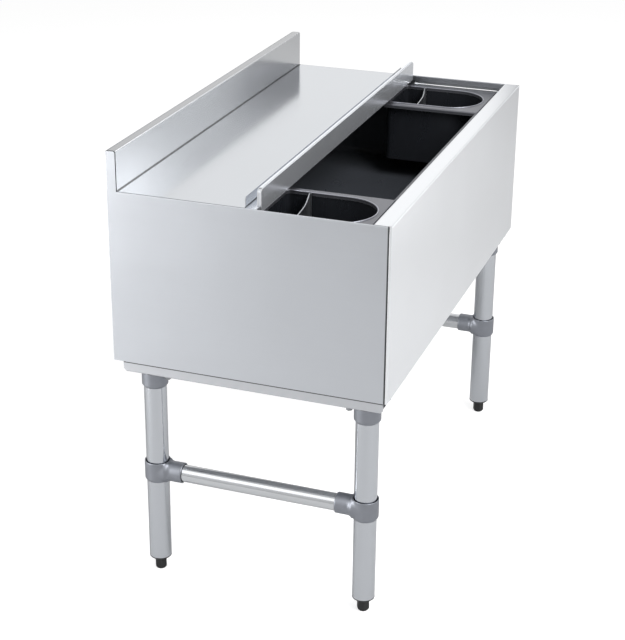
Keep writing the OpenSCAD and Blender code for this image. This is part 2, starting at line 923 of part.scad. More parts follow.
// T-fitting: a collar round the leg, with an arm that holds the cross tube
module tee(end, y) {
    r = tee_diameter / 2;
    low = tee_level - tee_height / 2;
    high = tee_level + tee_height / 2;
    arm_r = arm_diameter / 2;
    bevel = 0.8;
    foot_bevel = [2.4, 4.5];
    gasket_gap = [1.4, 3];
    flare = 4;
    arm_socket = r + arm_stop;
    color(casting_grey)
        at_leg(end, y)
            scale_y(inward(y))
                difference() {
                    union() {
                        rotate_extrude()
                            polygon([
                                [0, low],
                                [r - foot_bevel[0], low],
                                [r, low + foot_bevel[1]],
                                [r, high - bevel],
                                [r - bevel, high],
                                [0, high]
                            ]);
                        intersection() {
                            translate([0, 0, tee_level])
                                rotate([-90, 0, 0])
                                    rotate_extrude()
                                        polygon(concat(
                                            [[0, 0], [arm_r + flare, 0]],
                                            [for (k = [0 : bend_steps])
                                                let (angle = 90 * k / bend_steps)
                                                [arm_r + flare * (1 - sin(angle)), r - 1 + flare * (1 - cos(angle))]],
                                            [[arm_r, arm_reach - bevel], [arm_r - bevel, arm_reach], [0, arm_reach]]
                                        ));
                            block([-tee_diameter, 0, low + bevel], [tee_diameter, arm_reach, high - bevel]);
                        }
                    }
                    translate([0, 0, low - over])
                        cylinder(r = leg_r + tube_fit, h = tee_height + 2 * over);
                    translate([0, 0, high - gasket_gap[1]])
                        cylinder(r = leg_r + gasket_gap[0], h = gasket_gap[1] + over);
                    translate([0, arm_socket, tee_level])
                        rotate([-90, 0, 0])
                            cylinder(r = cross_r + tube_fit, h = arm_reach);
                    translate([0, arm_reach - gasket_gap[1], tee_level])
                        rotate([-90, 0, 0])
                            cylinder(r = cross_r + gasket_gap[0], h = gasket_gap[1] + over);
                    translate([0, (r + arm_reach) / 2, tee_level - arm_r - over])
                        cylinder(r = set_screw_r, h = arm_r);
                }
}

module cross_tube(end) {
    end_gap = 0.5;
    from = leg_front + tee_diameter / 2 + arm_stop + end_gap;
    to = leg_rear - tee_diameter / 2 - arm_stop - end_gap;
    color(tube_steel)
        translate([end * leg_x, from, tee_level])
            rotate([-90, 0, 0])
                difference() {
                    cylinder(r = cross_r, h = to - from);
                    translate([0, 0, -over])
                        cylinder(r = cross_r - cross_wall, h = to - from + 2 * over);
                }
}

// Black insert in the leg's lower end, with a bevelled flange under the tube
module insert(end, y) {
    low = tube_end_height - insert_flange;
    plug = leg_bore - tube_fit;
    bevel = 2;
    color(foot_black)
        at_leg(end, y)
            difference() {
                rotate_extrude()
                    polygon([
                        [0, low],
                        [leg_r - bevel, low],
                        [leg_r, low + bevel],
                        [leg_r, tube_end_height],
                        [plug, tube_end_height],
                        [plug, tube_end_height + insert_depth - bevel],
                        [plug - bevel, tube_end_height + insert_depth],
                        [0, tube_end_height + insert_depth]
                    ]);
                translate([0, 0, low - over])
                    cylinder(d = foot_shank + 2 * thread_fit, h = insert_depth + insert_flange + 2 * over);
            }
}

// Levelling foot: a hexagon with a rounded-off toe on a threaded shank
module foot(end, y) {
    top = tube_end_height - insert_flange;
    corner_r = foot_flats / sqrt(3);
    toe = [3.2, 4];
    color(foot_black)
        at_leg(end, y) {
            intersection() {
                rotate([0, 0, 30])
                    cylinder(r = corner_r, h = top, $fn = 6);
                rotate_extrude()
                    polygon([
                        [0, 0],
                        [corner_r - toe[0], 0],
                        [corner_r, toe[1]],
                        [corner_r, top],
                        [0, top]
                    ]);
            }
            translate([0, 0, top / 2])
                cylinder(d = foot_shank, h = top / 2 + insert_flange + insert_depth + foot_travel / 4);
        }
}

// Hexagon bolts with washers, up through the tongues and the channels
module socket_bolts() {
    head_r = bolt_flats / sqrt(3);
    under = channel_bottom - tongue[2];
    color(tube_steel)
        for (end = [-1, 1], y = [leg_front, leg_rear])
            scale_x(end)
                socket_bolt_places(y) {
                    translate([0, 0, under - washer[1]])
                        cylinder(r = washer[0], h = washer[1]);
                    translate([0, 0, under - washer[1] - bolt_head])
                        cylinder(r = head_r, h = bolt_head, $fn = 6);
                    translate([0, 0, under - washer[1]])
                        cylinder(r = bolt_r, h = bolt_length + washer[1]);
                }
}

module socket_nuts() {
    color(tube_steel)
        for (end = [-1, 1], y = [leg_front, leg_rear])
            scale_x(end)
                socket_bolt_places(y)
                    translate([0, 0, channel_bottom + channel_sheet])
                        difference() {
                            cylinder(r = bolt_flats / sqrt(3), h = nut_height, $fn = 6);
                            translate([0, 0, -over])
                                cylinder(r = bolt_r + thread_fit, h = nut_height + 2 * over);
                        }
}

// A set screw with a hexagon socket in its outer end, along +Z from its tip
module set_screw(length) {
    difference() {
        cylinder(r = set_screw_r - thread_fit, h = length);
        translate([0, 0, length / 2])
            cylinder(r = set_screw_r / 2, h = length, $fn = 6);
    }
}

// One in the inner side of each socket, against the leg
module socket_set_screws() {
    tip = leg_r + tube_fit / 2;
    color(foot_black)
        for (end = [-1, 1], y = [leg_front, leg_rear])
            at_leg(end, y)
                translate([-end * tip, 0, socket_bottom + socket_height / 2])
                    rotate([0, -end * 90, 0])
                        set_screw(socket_diameter / 2 - tip - set_screw_gap);
}

// One under each T-fitting's arm, against the cross tube
module tee_set_screws() {
    tip = cross_r + tube_fit / 2;
    color(foot_black)
        for (end = [-1, 1], y = [leg_front, leg_rear])
            at_leg(end, y)
                translate([0, inward(y) * (tee_diameter / 2 + arm_reach) / 2, tee_level - tip])
                    rotate([180, 0, 0])
                        set_screw(arm_diameter / 2 - tip - set_screw_gap);
}

// Flanged cup of the drain, through the bin's floor
module drain_body() {
    flange_low = bin_floor + gasket_height;
    flange_high = flange_low + drain_flange_height;
    r = drain_flange / 2;
    edge = drain_edge;
    color(tube_steel)
        translate([0, drain_y, 0])
            rotate_extrude()
                polygon([
                    [pipe_r - pipe_wall, cup_bottom + pipe_socket],
                    [thread_r + tube_fit, cup_bottom + pipe_socket],
                    [thread_r + tube_fit, cup_bottom],
                    [cup_r, cup_bottom],
                    [cup_r, flange_low],
                    [r, flange_low],
                    [r, flange_high - edge],
                    [r - edge, flange_high],
                    [cup_bore + 2 * edge, flange_high],
                    [cup_bore + 2 * edge, flange_high - edge],
                    [cup_bore, flange_high - edge],
                    [cup_bore, cup_bottom + cup_ledge],
                    [pipe_r - pipe_wall, cup_bottom + cup_ledge]
                ]);
}

module drain_gasket() {
    color(rubber_black)
        translate([0, drain_y, bin_floor])
            difference() {
                cylinder(r = drain_flange / 2 - gasket_inset, h = gasket_height);
                translate([0, 0, -over])
                    cylinder(r = cup_r + loose_fit, h = gasket_height + 2 * over);
            }
}

module drain_lock_nut() {
    color(tube_steel)
        translate([0, drain_y, liner_under - lock_nut_height])
            difference() {
                cylinder(r = lock_nut_r, h = lock_nut_height, $fn = 8);
                translate([0, 0, -over])
                    cylinder(r = cup_r + thread_fit, h = lock_nut_height + 2 * over);
            }
}

// Threaded where the nut and the cup hold it, plain below for a hose
module drain_pipe() {
    color(black_plastic)
        translate([0, drain_y, pipe_end])
            difference() {
                union() {
                    cylinder(r = pipe_r, h = pipe_top - pipe_end);
                    translate([0, 0, pipe_free])
                        cylinder(r = thread_r, h = pipe_top - pipe_end - pipe_free);
                }
                translate([0, 0, -over])
                    cylinder(r = pipe_r - pipe_wall, h = pipe_top - pipe_end + 2 * over);
            }
}

module drain_pipe_nut() {
    color(black_plastic)
        translate([0, drain_y, cabinet_bottom - pipe_nut_height])
            difference() {
                cylinder(r = pipe_nut_r, h = pipe_nut_height, $fn = 6);
                translate([0, 0, -over])
                    cylinder(r = thread_r + thread_fit, h = pipe_nut_height + 2 * over);
            }
}

// Loose strainer disc in the drain's recess, with rings of holes
module drain_strainer() {
    seat = bin_floor + gasket_height + drain_flange_height - drain_edge;
    r = cup_bore + 2;
    disc = 1.5;
    hole = 3.2;
    ring_pitch = 8;
    color(tube_steel)
        translate([0, drain_y, seat])
            difference() {
                cylinder(r = r, h = disc);
                for (ring = [0 : 2], k = [0 : max(0, 6 * ring - 1)])
                    rotate([0, 0, ring == 0 ? 0 : 60 * k / ring])
                        translate([ring * ring_pitch, 0, -over])
                            cylinder(d = hole, h = disc + 2 * over);
            }
}

left_end_panel();
right_end_panel();
front_panel();
back_panel();
backsplash();
work_deck();
guard_panel();
rear_ledge();
bin_collar();
bottom_pan();
left_leg_channel();
right_leg_channel();
foam_core();
deck_insulation();
bin_liner();
left_well_rim();
right_well_rim();
left_well_tub();
right_well_tub();
left_well_divider();
right_well_divider();
socket(-1, leg_front);  // front_left_socket
socket(1, leg_front);  // front_right_socket
socket(-1, leg_rear);  // rear_left_socket
socket(1, leg_rear);  // rear_right_socket
leg(-1, leg_front);  // front_left_leg
leg(1, leg_front);  // front_right_leg
leg(-1, leg_rear);  // rear_left_leg
leg(1, leg_rear);  // rear_right_leg
tee(-1, leg_front);  // front_left_tee
tee(1, leg_front);  // front_right_tee
tee(-1, leg_rear);  // rear_left_tee
tee(1, leg_rear);  // rear_right_tee
cross_tube(-1);  // left_cross_tube
cross_tube(1);  // right_cross_tube
insert(-1, leg_front);  // front_left_insert
insert(1, leg_front);  // front_right_insert
insert(-1, leg_rear);  // rear_left_insert
insert(1, leg_rear);  // rear_right_insert
foot(-1, leg_front);  // front_left_foot
foot(1, leg_front);  // front_right_foot
foot(-1, leg_rear);  // rear_left_foot
foot(1, leg_rear);  // rear_right_foot
socket_bolts();
socket_nuts();
socket_set_screws();
tee_set_screws();
drain_body();
drain_gasket();
drain_lock_nut();
drain_pipe();
drain_pipe_nut();
drain_strainer();
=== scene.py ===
import math

import bpy
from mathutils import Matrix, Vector


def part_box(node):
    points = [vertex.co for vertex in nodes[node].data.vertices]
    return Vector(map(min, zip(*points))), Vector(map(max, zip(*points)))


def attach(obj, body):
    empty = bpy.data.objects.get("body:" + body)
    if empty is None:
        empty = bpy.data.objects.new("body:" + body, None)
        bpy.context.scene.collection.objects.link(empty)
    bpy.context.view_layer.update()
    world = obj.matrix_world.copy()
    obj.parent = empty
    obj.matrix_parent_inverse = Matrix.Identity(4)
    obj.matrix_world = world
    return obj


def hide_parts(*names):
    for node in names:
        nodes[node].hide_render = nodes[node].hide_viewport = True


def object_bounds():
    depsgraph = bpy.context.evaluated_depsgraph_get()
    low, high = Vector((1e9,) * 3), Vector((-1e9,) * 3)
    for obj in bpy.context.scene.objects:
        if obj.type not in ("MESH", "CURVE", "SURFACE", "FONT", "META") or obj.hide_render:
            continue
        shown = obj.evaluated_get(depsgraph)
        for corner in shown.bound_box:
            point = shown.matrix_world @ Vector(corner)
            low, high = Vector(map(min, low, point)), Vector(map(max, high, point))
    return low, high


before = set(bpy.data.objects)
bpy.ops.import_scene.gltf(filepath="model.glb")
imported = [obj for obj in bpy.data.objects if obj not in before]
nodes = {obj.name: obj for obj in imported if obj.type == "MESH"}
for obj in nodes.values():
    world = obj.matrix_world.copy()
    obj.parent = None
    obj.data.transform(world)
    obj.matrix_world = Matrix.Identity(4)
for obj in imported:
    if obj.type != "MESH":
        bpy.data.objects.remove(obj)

cad_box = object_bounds()
MM = 0.001
CORNERS = ("front_left", "front_right", "rear_left", "rear_right")


# ---- Materials: the tools ----

def hex_colour(text):
    """An sRGB hex value as the linear colour that the shader wants."""
    parts = [int(text[i:i + 2], 16) / 255 for i in (1, 3, 5)]
    return [p / 12.92 if p <= 0.04045 else ((p + 0.055) / 1.055) ** 2.4 for p in parts] + [1.0]


def shade_of(colour, factor):
    """A colour made darker or lighter, never past white."""
    return [min(1.0, c * factor) for c in hex_colour(colour)[:3]] + [1.0]


def add(tree, kind, sockets=None, **settings):
    """Adds one node. A socket is given a number, a colour or another node's output."""
    made = tree.nodes.new(kind)
    for name, value in settings.items():
        setattr(made, name, value)
    for name, value in (sockets or {}).items():
        if isinstance(value, bpy.types.NodeSocket):
            tree.links.new(value, made.inputs[name])
        else:
            made.inputs[name].default_value = value
    return made


def material_start(name):
    """An empty material, its tree, and the Object coordinates that every pattern reads."""
    made = bpy.data.materials.new(name)
    made.use_nodes = True
    tree = made.node_tree
    tree.nodes.clear()
    place = add(tree, "ShaderNodeTexCoord").outputs["Object"]
    return made, tree, place


# How far the rounded normal agrees with the true one: on a flat, and on a sharp edge.
FLAT_AGREES, EDGE_AGREES = 0.99, 0.80
# How much open air a place has, for the painted shade in corners: in an inner corner, and on a
# flat.
CORNER_AIR, OPEN_AIR = 0.15, 0.75


def edge_mask(tree, width):
    """1 where the rounded normal leaves the true one, on edges within a width in metres."""
    rounded = add(tree, "ShaderNodeBevel", {"Radius": width}, samples=4).outputs["Normal"]
    true = add(tree, "ShaderNodeNewGeometry").outputs["Normal"]
    agree = add(tree, "ShaderNodeVectorMath", {0: rounded, 1: true},
                operation="DOT_PRODUCT").outputs["Value"]
    return add(tree, "ShaderNodeMapRange", {
        "Value": agree, "From Min": FLAT_AGREES, "From Max": EDGE_AGREES}).outputs["Result"]


def painted_corner_shade(tree, reach, depth):
    """1 in the open, less in inner corners within a reach in metres: a painted shade."""
    air = add(tree, "ShaderNodeAmbientOcclusion", {"Distance": reach}, samples=6).outputs["AO"]
    return add(tree, "ShaderNodeMapRange", {
        "Value": air, "From Min": CORNER_AIR, "From Max": OPEN_AIR,
        "To Min": 1 - depth}).outputs["Result"]


# ---- Materials: the four kinds ----

STEEL_EDGE = 0.8 * MM       # how wide the painted highlight on a sheet's edges is
STEEL_RELIEF = 0.2 * MM     # the grain's depth, as deep as it needs to show
CLOUDS_PER_METRE = 7.0      # soft patches of about 14 cm, from rolling and wiping
CLOUD_SHARE = 0.4           # the rest of the tone comes from the grain
GROUND_STRETCH = 0.7        # how far a ground tube draws out what it mirrors


def brushed_steel(name, colour, streak, roughness, spread, tone=0.03, wave=0.08, metallic=1.0,
                  shade_in_corners=(0.004, 0.75), edge_highlight=1.35, bands=(), ground=None):
    """Austenitic stainless steel, brushed: satin, with a grain that catches the light in lines.
    streak is the grain's size along X, Y and Z in metres. spread, tone and wave are how far the
    grain changes the roughness, the colour and the slope. shade_in_corners is the reach and depth
    of the painted shade in inner corners, and edge_highlight how much paler the edges are painted,
    a painted highlight. Each band is an axis, the two places between which the tone changes along
    it, and the factor beyond: a dark seam, painted shade, or a painted highlight on a rolled top.
    ground is a ground tube's length: its grain runs round it, so what it mirrors is drawn out
    along it."""
    made, tree, place = material_start(name)
    grain_place = add(tree, "ShaderNodeMapping", {
        "Vector": place, "Scale": [1 / s for s in streak]}).outputs["Vector"]
    grain = add(tree, "ShaderNodeTexNoise", {
        "Vector": grain_place, "Scale": 1.0, "Detail": 3.0, "Roughness": 0.55}).outputs["Fac"]
    cloud = add(tree, "ShaderNodeTexNoise", {
        "Vector": place, "Scale": CLOUDS_PER_METRE, "Detail": 2.0}).outputs["Fac"]
    both = add(tree, "ShaderNodeMix", {"Factor": CLOUD_SHARE, "A": grain, "B": cloud},
               data_type="FLOAT").outputs["Result"]
    sheen = add(tree, "ShaderNodeMix", {
        "Factor": both, "A": shade_of(colour, 1 - tone), "B": shade_of(colour, 1 + tone)},
        data_type="RGBA").outputs["Result"]
    # Painted highlight: the sheet's edges are painted paler.
    painted_highlight_mask = edge_mask(tree, STEEL_EDGE)
    edged = add(tree, "ShaderNodeMix", {"Factor": painted_highlight_mask, "A": sheen, "B": shade_of(colour, edge_highlight)},
                data_type="RGBA").outputs["Result"]
    # Painted shade in inner corners, multiplied by the bands: dark seams, painted shade and painted
    # highlights.
    painted_shade_and_highlight = painted_corner_shade(tree, *shade_in_corners)
    for axis, start, end, factor in bands:
        along = add(tree, "ShaderNodeSeparateXYZ", {"Vector": place}).outputs[axis]
        beyond = add(tree, "ShaderNodeMapRange", {
            "Value": along, "From Min": start, "From Max": end,
            "To Min": 1.0, "To Max": factor}).outputs["Result"]
        painted_shade_and_highlight = add(tree, "ShaderNodeMath", {0: painted_shade_and_highlight, 1: beyond},
                    operation="MULTIPLY").outputs["Value"]
    paint = add(tree, "ShaderNodeMix", {"Factor": 1.0, "A": edged, "B": painted_shade_and_highlight},
                data_type="RGBA", blend_type="MULTIPLY").outputs["Result"]
    rough = add(tree, "ShaderNodeMapRange", {
        "Value": both, "From Min": 0.25, "From Max": 0.75,
        "To Min": roughness - spread, "To Max": roughness + spread}).outputs["Result"]
    lines = add(tree, "ShaderNodeBump", {
        "Strength": wave, "Distance": STEEL_RELIEF, "Height": grain}).outputs["Normal"]
    shader = add(tree, "ShaderNodeBsdfPrincipled", {
        "Base Color": paint, "Metallic": metallic, "Roughness": rough, "Normal": lines})
    if ground:
        shader.inputs["Anisotropic"].default_value = GROUND_STRETCH
        length = add(tree, "ShaderNodeCombineXYZ", {
            "X": ground[0], "Y": ground[1], "Z": ground[2]}).outputs["Vector"]
        tree.links.new(length, shader.inputs["Tangent"])
    add(tree, "ShaderNodeOutputMaterial", {"Surface": shader.outputs["BSDF"]})
    return made


PLASTIC_EDGE = 0.8 * MM             # how wide a moulding's edges are worn pale
WIPED_STRETCH = [6.0, 9.0, 4.0]     # wiping marks are longest up and down, shortest front to back
HAZE = 0.3                          # how much of the scuffed colour the wiping marks take
THREAD_RELIEF = 0.9 * MM            # the depth of a levelling foot's thread
WAVE_RADIANS = 20                   # what a wave texture turns through in a metre at scale 1


def moulded_plastic(name, colour, scuffed, roughness, grain_size, grain_depth, thread=None):
    """Injection-moulded or thermoformed plastic: a fine skin, wiped dull in places and paler at
    its edges. thread is the height above which the piece is a screw, and its thread's pitch."""
    made, tree, place = material_start(name)
    skin = add(tree, "ShaderNodeTexNoise", {
        "Vector": place, "Scale": 1 / grain_size, "Detail": 2.0}).outputs["Fac"]
    wiped_place = add(tree, "ShaderNodeMapping", {
        "Vector": place, "Scale": WIPED_STRETCH}).outputs["Vector"]
    wiped = add(tree, "ShaderNodeTexNoise", {
        "Vector": wiped_place, "Scale": 2.0, "Detail": 5.0, "Roughness": 0.6}).outputs["Fac"]
    haze = add(tree, "ShaderNodeMapRange", {
        "Value": wiped, "From Min": 0.45, "From Max": 0.75, "To Max": HAZE}).outputs["Result"]
    worn = edge_mask(tree, PLASTIC_EDGE)
    marks = add(tree, "ShaderNodeMath", {0: haze, 1: worn}, operation="MAXIMUM").outputs["Value"]
    paint = add(tree, "ShaderNodeMix", {
        "Factor": marks, "A": hex_colour(colour), "B": hex_colour(scuffed)},
        data_type="RGBA").outputs["Result"]
    rough = add(tree, "ShaderNodeMapRange", {
        "Value": wiped, "From Min": 0.3, "From Max": 0.7,
        "To Min": roughness * 0.85, "To Max": roughness * 1.25}).outputs["Result"]
    grain = add(tree, "ShaderNodeBump", {
        "Strength": 0.35, "Distance": grain_depth, "Height": skin}).outputs["Normal"]
    if thread:
        foot, pitch = thread
        height = add(tree, "ShaderNodeSeparateXYZ", {"Vector": place}).outputs["Z"]
        screw = add(tree, "ShaderNodeMath", {0: height, 1: foot},
                    operation="GREATER_THAN").outputs["Value"]
        turns = add(tree, "ShaderNodeTexWave", {
            "Vector": place, "Scale": math.tau / (WAVE_RADIANS * pitch)},
            bands_direction="Z").outputs["Fac"]
        ridges = add(tree, "ShaderNodeMath", {0: screw, 1: turns},
                     operation="MULTIPLY").outputs["Value"]
        grain = add(tree, "ShaderNodeBump", {
            "Strength": 1.0, "Distance": THREAD_RELIEF, "Height": ridges,
            "Normal": grain}).outputs["Normal"]
    shader = add(tree, "ShaderNodeBsdfPrincipled", {
        "Base Color": paint, "Roughness": rough, "Normal": grain, "IOR": 1.5})
    add(tree, "ShaderNodeOutputMaterial", {"Surface": shader.outputs["BSDF"]})
    return made


CAST_EDGE = 1.4 * MM        # how wide a casting's edges are painted bright: worn, and a painted highlight
CAST_SPOTS_PER_METRE = 900  # the skin of a die casting, 1.1 mm coarse so that it shows
CAST_PATCHES_PER_METRE = 60
CAST_RELIEF = 0.2 * MM


def cast_alloy(name, colour, highlight_colour, roughness):
    """Die-cast zinc alloy, tumbled: a fine dull skin, with its edges worn bright and a painted
    highlight on them.
    """
    made, tree, place = material_start(name)
    skin = add(tree, "ShaderNodeTexNoise", {
        "Vector": place, "Scale": CAST_SPOTS_PER_METRE, "Detail": 2.0}).outputs["Fac"]
    patch = add(tree, "ShaderNodeTexNoise", {
        "Vector": place, "Scale": CAST_PATCHES_PER_METRE, "Detail": 3.0}).outputs["Fac"]
    # The edges: worn bright, with a painted highlight on them.
    painted_highlight_mask = edge_mask(tree, CAST_EDGE)
    base = add(tree, "ShaderNodeMix", {
        "Factor": patch, "A": shade_of(colour, 0.88), "B": hex_colour(colour)},
        data_type="RGBA").outputs["Result"]
    paint = add(tree, "ShaderNodeMix", {
        "Factor": painted_highlight_mask, "A": base, "B": hex_colour(highlight_colour)},
        data_type="RGBA").outputs["Result"]
    rough = add(tree, "ShaderNodeMapRange", {
        "Value": painted_highlight_mask, "To Min": roughness, "To Max": roughness * 0.6}).outputs["Result"]
    grain = add(tree, "ShaderNodeBump", {
        "Strength": 0.3, "Distance": CAST_RELIEF, "Height": skin}).outputs["Normal"]
    shader = add(tree, "ShaderNodeBsdfPrincipled", {
        "Base Color": paint, "Metallic": 1.0, "Roughness": rough, "Normal": grain})
    add(tree, "ShaderNodeOutputMaterial", {"Surface": shader.outputs["BSDF"]})
    return made


FOAM_CELLS_PER_METRE = 700  # cut cells of 1.4 mm
FOAM_RELIEF = 0.6 * MM


def rigid_foam(name, colour):
    """Cut polyurethane foam: cream and dull, with open cells."""
    made, tree, place = material_start(name)
    cells = add(tree, "ShaderNodeTexVoronoi", {
        "Vector": place, "Scale": FOAM_CELLS_PER_METRE}).outputs["Distance"]
    paint = add(tree, "ShaderNodeMix", {
        "Factor": cells, "A": shade_of(colour, 0.7), "B": hex_colour(colour)},
        data_type="RGBA").outputs["Result"]
    dents = add(tree, "ShaderNodeBump", {
        "Strength": 0.5, "Distance": FOAM_RELIEF, "Height": cells}).outputs["Normal"]
    shader = add(tree, "ShaderNodeBsdfPrincipled", {
        "Base Color": paint, "Roughness": 0.9, "Normal": dents})
    add(tree, "ShaderNodeOutputMaterial", {"Surface": shader.outputs["BSDF"]})
    return made


# ---- Materials: the finishes of this cabinet ----

# The grain of a brushed sheet is about 0.2 mm wide and runs for centimetres.
# It is drawn 2 mm wide, so that it shows at all at this distance.
LENGTHWISE = (0.25, 2 * MM, 2 * MM)
ACROSS = (2 * MM, 0.25, 2 * MM)
UPRIGHT = (2 * MM, 2 * MM, 0.25)
ALONG_LEG = (3 * MM, 3 * MM, 0.12)
ALONG_CROSS_TUBE = (3 * MM, 0.12, 3 * MM)
BOLT_GRAIN = (4 * MM, 4 * MM, 4 * MM)
DRAIN_GRAIN = (4 * MM, 4 * MM, 20 * MM)

PANEL_SIDE, PANEL_FRONT, PANEL_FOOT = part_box("left_end_panel")[0]
CHANNEL_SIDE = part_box("left_leg_channel")[0][0]
SPLASH_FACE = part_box("backsplash")[0][1]
SPLASH_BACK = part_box("backsplash")[1][1]
SPLASH_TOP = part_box("backsplash")[1][2]
ROLL_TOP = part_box("left_well_rim")[1][2]
INSERT_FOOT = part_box("front_left_insert")[0][2]
SHADE_FALL = 0.42           # how far the panel's shade falls for each metre that it stands out
CHANNEL_SHADE = PANEL_FOOT - SHADE_FALL * (CHANNEL_SIDE - PANEL_SIDE)
FOOT_PITCH = 2.0 * MM

# Brushed stainless sheet, grain lengthwise: pale, and nearly white where the light stands high.
sheet_front = brushed_steel("BrushedStainlessFront", "#f3f5f8", LENGTHWISE, 0.30, 0.03)
# The same, brushed finer: it mirrors the backsplash softly, and the seam at its foot is dark.
sheet_deck = brushed_steel(
    "BrushedStainlessDeck", "#cbced2", LENGTHWISE, 0.15, 0.03, tone=0.05,
    bands=[("Y", SPLASH_FACE - 3.4 * MM, SPLASH_FACE - 2.6 * MM, 0.2)])
# Brushed front to back: an even satin grey, with a dark seam where it meets the front panel, and
# painted shade reaching 7 cm from its inner corners.
sheet_end = brushed_steel(
    "BrushedStainlessEnd", "#c5c8cd", ACROSS, 0.40, 0.04, shade_in_corners=(0.07, 0.85),
    bands=[("Y", PANEL_FRONT + 2.4 * MM, PANEL_FRONT + 1.4 * MM, 0.15)])
# Brushed fine and flat: almost a mirror, with its top and its back painted a darker grey as shade.
sheet_splash = brushed_steel(
    "BrushedStainlessSplash", "#f4f6f9", LENGTHWISE, 0.20, 0.03, tone=0.025, wave=0.03,
    bands=[("Z", SPLASH_TOP - 0.35 * MM, SPLASH_TOP - 0.15 * MM, 0.42),
           ("Y", SPLASH_BACK - 0.4 * MM, SPLASH_BACK - 0.2 * MM, 0.42)])
# Brushed lengthwise: bright, and a little softer in its mirroring than the deck.
sheet_guard = brushed_steel(
    "BrushedStainlessGuard", "#eceff4", LENGTHWISE, 0.24, 0.03, metallic=0.8)
# Stainless sheet as the mill rolled it, not brushed after: a flat, darker grey.
sheet_back = brushed_steel("MillFinishBack", "#97999d", LENGTHWISE, 0.45, 0.05)
# The same under the channel: dull, painted dark grey as shade, with painted shade in its corners.
sheet_ledge = brushed_steel(
    "PaintedShadeLedgeSteel", "#6a6c70", LENGTHWISE, 0.38, 0.05, shade_in_corners=(0.02, 0.6))
# A narrow strip brushed bright, and its bead buffed: thin lines of light round the liner.
sheet_collar = brushed_steel("BrightStainlessCollar", "#e9ebed", ACROSS, 0.26, 0.04)
sheet_bead = brushed_steel("PolishedBead", "#f4f5f6", LENGTHWISE, 0.20, 0.03)
# Mill finish, folded: dull grey, with the end panel's shade as a dark line. The second band
# ends the first one.
sheet_channel = brushed_steel(
    "MillFinishChannel", "#c6c8cc", ACROSS, 0.42, 0.05,
    bands=[("Z", CHANNEL_SHADE - 3.2 * MM, CHANNEL_SHADE - 2.4 * MM, 0.2),
           ("Z", CHANNEL_SHADE + 0.2 * MM, CHANNEL_SHADE + 0.8 * MM, 5.0)])
# Pressed plates with a satin finish: dark grey, with a painted highlight on the edges and on the
# rolled mouth's top.
rim_satin = brushed_steel(
    "SatinWellRim", "#73747a", LENGTHWISE, 0.34, 0.06, tone=0.06, metallic=0.8, edge_highlight=2.4,
    bands=[("Z", ROLL_TOP - 0.9 * MM, ROLL_TOP - 0.4 * MM, 2.3)])
# Strip with an upright satin grain: soft and grey.
divider_satin = brushed_steel("SatinDivider", "#b4b6ba", UPRIGHT, 0.30, 0.05)
# Stainless tube ground on a belt that runs round it: long soft streaks of light and dark.
tube_long = brushed_steel(
    "GroundLegTube", "#c1c4c9", ALONG_LEG, 0.16, 0.03, ground=(0, 0, 1))
tube_cross = brushed_steel(
    "GroundCrossTube", "#cbcdd0", ALONG_CROSS_TUBE, 0.18, 0.03, ground=(0, 1, 0))
# Zinc-plated steel, dull, and plated brass, bright.
bolt_zinc = brushed_steel("ZincPlatedBolt", "#8f9194", BOLT_GRAIN, 0.35, 0.05)
drain_bright = brushed_steel("PlatedDrain", "#9fa1a5", DRAIN_GRAIN, 0.24, 0.04)
# Die-cast zinc alloy, tumbled: mid grey, darker and duller than the tubes.
fitting_grey = cast_alloy("TumbledCastFitting", "#91949b", "#b9bbc0", 0.45)
# Thermoformed ABS: the liner is black, painted lighter as a satin charcoal to stand in for light
# that the deep bin doesn't get, and the tubs are blacker and glossier.
liner_black = moulded_plastic(
    "GlossBlackLiner", "#45484e", "#4d5057", 0.32, 4 * MM, 0.1 * MM)
tub_black = moulded_plastic(
    "GlossBlackTub", "#1c1e22", "#26282d", 0.26, 3 * MM, 0.1 * MM)
# Injection-moulded nylon: near black, with a satin skin.
foot_nylon = moulded_plastic(
    "BlackNylonFoot", "#0c0c0e", "#1a1b1d", 0.42, 0.8 * MM, 0.1 * MM)
foot_threaded = moulded_plastic(
    "BlackNylonScrewFoot", "#0c0c0e", "#1a1b1d", 0.42, 0.8 * MM, 0.1 * MM,
    thread=(INSERT_FOOT, FOOT_PITCH))
# Extruded ABS pipe, satin, and moulded rubber, quite dull.
pipe_plastic = moulded_plastic(
    "BlackDrainPipe", "#151618", "#2b2c2f", 0.45, 1 * MM, 0.1 * MM)
gasket_rubber = moulded_plastic(
    "BlackRubberGasket", "#0e0e0f", "#202123", 0.75, 0.8 * MM, 0.1 * MM)
# Steel with a black oxide skin, which is as dark and even as a plastic one.
screw_black = moulded_plastic(
    "BlackenedScrew", "#121213", "#3a3b3d", 0.40, 0.6 * MM, 0.05 * MM)
foam = rigid_foam("CutPolyurethaneFoam", "#e6dcb8")

FINISHES = {
    "left_end_panel": sheet_end, "right_end_panel": sheet_end,
    "front_panel": sheet_front, "back_panel": sheet_back, "backsplash": sheet_splash,
    "work_deck": sheet_deck, "bottom_pan": sheet_channel,
    "guard_panel": sheet_guard, "rear_ledge": sheet_ledge, "bin_collar": sheet_collar,
    "left_leg_channel": sheet_channel, "right_leg_channel": sheet_channel,
    "foam_core": foam, "deck_insulation": foam,
    "bin_liner": liner_black, "left_well_tub": tub_black, "right_well_tub": tub_black,
    "left_well_rim": rim_satin, "right_well_rim": rim_satin,
    "left_well_divider": divider_satin, "right_well_divider": divider_satin,
    "left_cross_tube": tube_cross, "right_cross_tube": tube_cross,
    "socket_bolts": bolt_zinc, "socket_nuts": bolt_zinc,
    "socket_set_screws": screw_black, "tee_set_screws": screw_black,
    "drain_body": drain_bright, "drain_lock_nut": drain_bright, "drain_strainer": drain_bright,
    "drain_gasket": gasket_rubber, "drain_pipe": pipe_plastic, "drain_pipe_nut": pipe_plastic,
}
